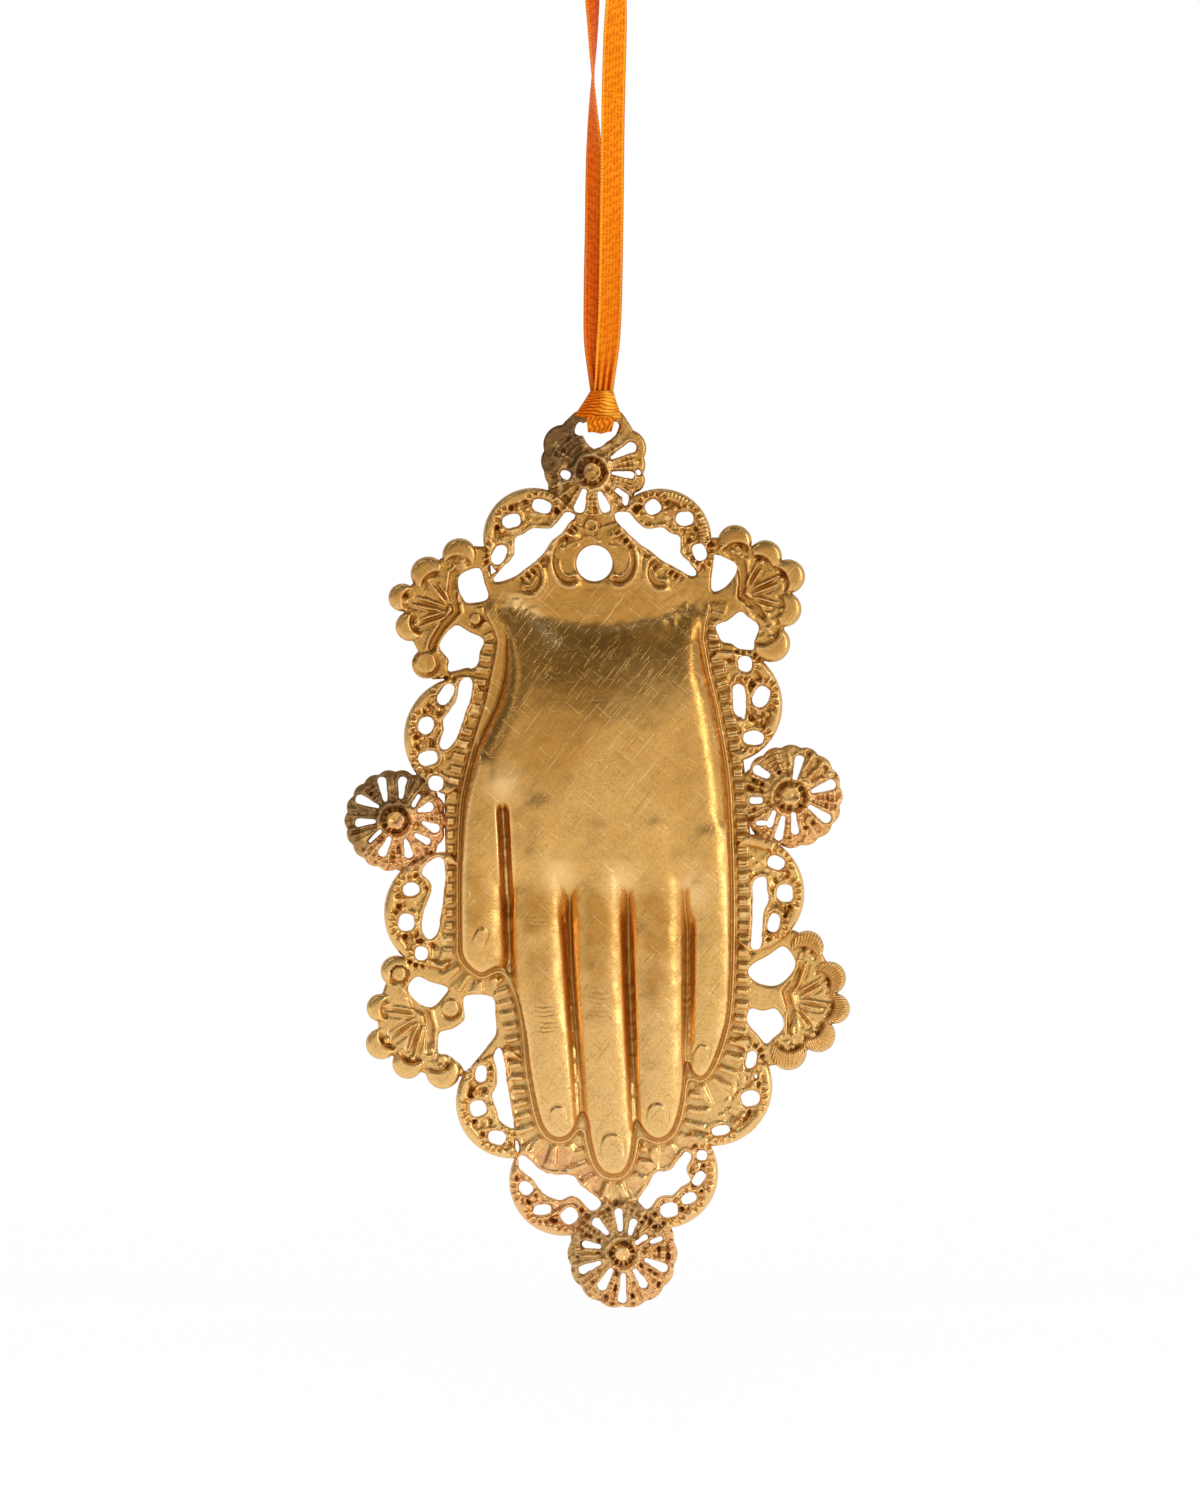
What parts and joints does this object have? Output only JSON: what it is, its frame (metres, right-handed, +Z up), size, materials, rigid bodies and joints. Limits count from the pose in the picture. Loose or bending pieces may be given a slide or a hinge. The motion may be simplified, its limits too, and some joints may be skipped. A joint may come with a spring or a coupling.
{
  "type": "hamsa hand ornament",
  "caption": "Hanging hamsa: a hollow stamped brass hand, fingers down, in a ribbed band and openwork border of rosettes, shells and scrolls, on a tied satin ribbon loop.",
  "frame": {"origin": "the place of the hook in the ribbon's loop, just under the closing knot", "axes": "+Z up, the picture side faces -Y, +X to the viewer's right"},
  "size_m": [0.0649, 0.007, 0.1994],
  "materials": {
    "brass": "satin, lightly scratched and tarnished",
    "ribbon": "satin weave"
  },
  "bodies": {
    "ribbon": {"ribbon_knot": "ribbon", "ribbon_strand_left": "ribbon", "ribbon_strand_right": "ribbon"},
    "hitch": {"ribbon_hitch": "ribbon"},
    "plaque": {"brass_plaque": "brass"}
  },
  "joints": [
    {"name": "ribbon_twist", "type": "hinge", "parent": "ribbon", "child": "hitch", "pos_m": [-0.0005, -0.0006, -0.0661], "axis": [0, 0, 1], "range_deg": [-180, 180]},
    {"name": "plaque_tilt", "type": "hinge", "parent": "hitch", "child": "plaque", "pos_m": [-0.0005, 0, -0.0693], "axis": [1, 0, 0], "range_deg": [-45, 45]}
  ]
}
